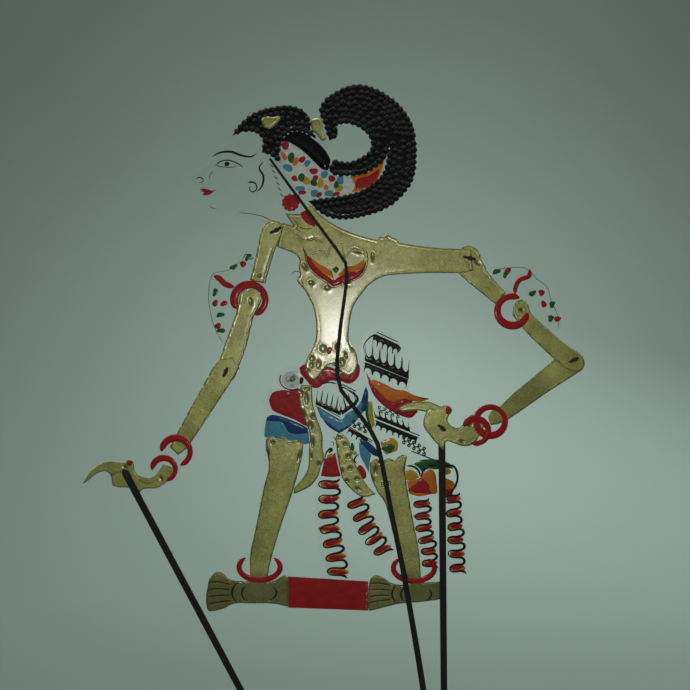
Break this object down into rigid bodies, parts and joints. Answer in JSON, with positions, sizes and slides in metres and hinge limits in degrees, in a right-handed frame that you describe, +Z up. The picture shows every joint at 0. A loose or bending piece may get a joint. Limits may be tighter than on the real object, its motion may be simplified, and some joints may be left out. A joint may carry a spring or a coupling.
{
  "type": "flat rod puppet",
  "caption": "Flat shadow-style rod puppet: a clear-sheet figure with gold foil and black hair, a forked main rod, jointed arms and hand rods.",
  "frame": {"origin": "middle of the flat foot of the main rod", "axes": "+Z up along the figure, -Y the painted front, +X to the viewer's right"},
  "size_m": [0.376, 0.0143, 0.5952],
  "materials": {
    "clear_sheet": "clear, glossy",
    "gold_foil": "metallic gold, finely grained",
    "black_hair": "glossy black relief",
    "black_rod": "satin black",
    "black_thread": "waxed black thread"
  },
  "bodies": {
    "figure": {"body_sheet": "clear_sheet", "torso_foil": "gold_foil", "left_leg_foil": "gold_foil", "right_leg_foil": "gold_foil", "left_sash_foil": "gold_foil", "right_sash_foil": "gold_foil", "hair_crescent": "black_hair", "hair_front": "black_hair", "hair_lock": "black_hair", "hair_clasp": "gold_foil", "forehead_jewel": "gold_foil", "main_rod": "black_rod", "head_tie": "black_thread", "chest_tie": "black_thread", "waist_tie": "black_thread", "hip_tie": "black_thread", "left_shoulder_knot": "black_thread", "right_shoulder_knot": "black_thread"},
    "left_upper_arm": {"left_upper_arm_sheet": "clear_sheet", "left_upper_arm_foil": "gold_foil", "left_lower_arm_foil": "gold_foil", "left_elbow_knot": "black_thread"},
    "left_forearm": {"left_forearm_sheet": "clear_sheet", "left_forearm_foil": "gold_foil", "left_hand_foil": "gold_foil", "left_hand_knot": "black_thread"},
    "left_rod": {"left_hand_rod": "black_rod"},
    "right_upper_arm": {"right_upper_arm_sheet": "clear_sheet", "right_upper_arm_foil": "gold_foil", "right_lower_arm_foil": "gold_foil", "right_elbow_knot": "black_thread"},
    "right_forearm": {"right_forearm_sheet": "clear_sheet", "right_forearm_foil": "gold_foil", "right_hand_foil": "gold_foil", "right_hand_knot": "black_thread"},
    "right_rod": {"right_hand_rod": "black_rod"}
  },
  "joints": [
    {"name": "left_shoulder", "type": "hinge", "parent": "figure", "child": "left_upper_arm", "pos_m": [-0.13, 0, 0.486], "axis": [0, -1, 0], "range_deg": [-90, 45]},
    {"name": "left_elbow", "type": "hinge", "parent": "left_upper_arm", "child": "left_forearm", "pos_m": [-0.1675, 0, 0.38], "axis": [0, -1, 0], "range_deg": [-90, 60]},
    {"name": "left_hand_pivot", "type": "hinge", "parent": "left_forearm", "child": "left_rod", "pos_m": [-0.242, 0, 0.305], "axis": [0, -1, 0], "range_deg": [-60, 60]},
    {"name": "right_shoulder", "type": "hinge", "parent": "figure", "child": "right_upper_arm", "pos_m": [0.015, 0, 0.4655], "axis": [0, -1, 0], "range_deg": [-28, 60]},
    {"name": "right_elbow", "type": "hinge", "parent": "right_upper_arm", "child": "right_forearm", "pos_m": [0.0935, 0, 0.389], "axis": [0, -1, 0], "range_deg": [-20, 100]},
    {"name": "right_hand_pivot", "type": "hinge", "parent": "right_forearm", "child": "right_rod", "pos_m": [-0.006, 0, 0.3385], "axis": [0, -1, 0], "range_deg": [-45, 60]}
  ]
}
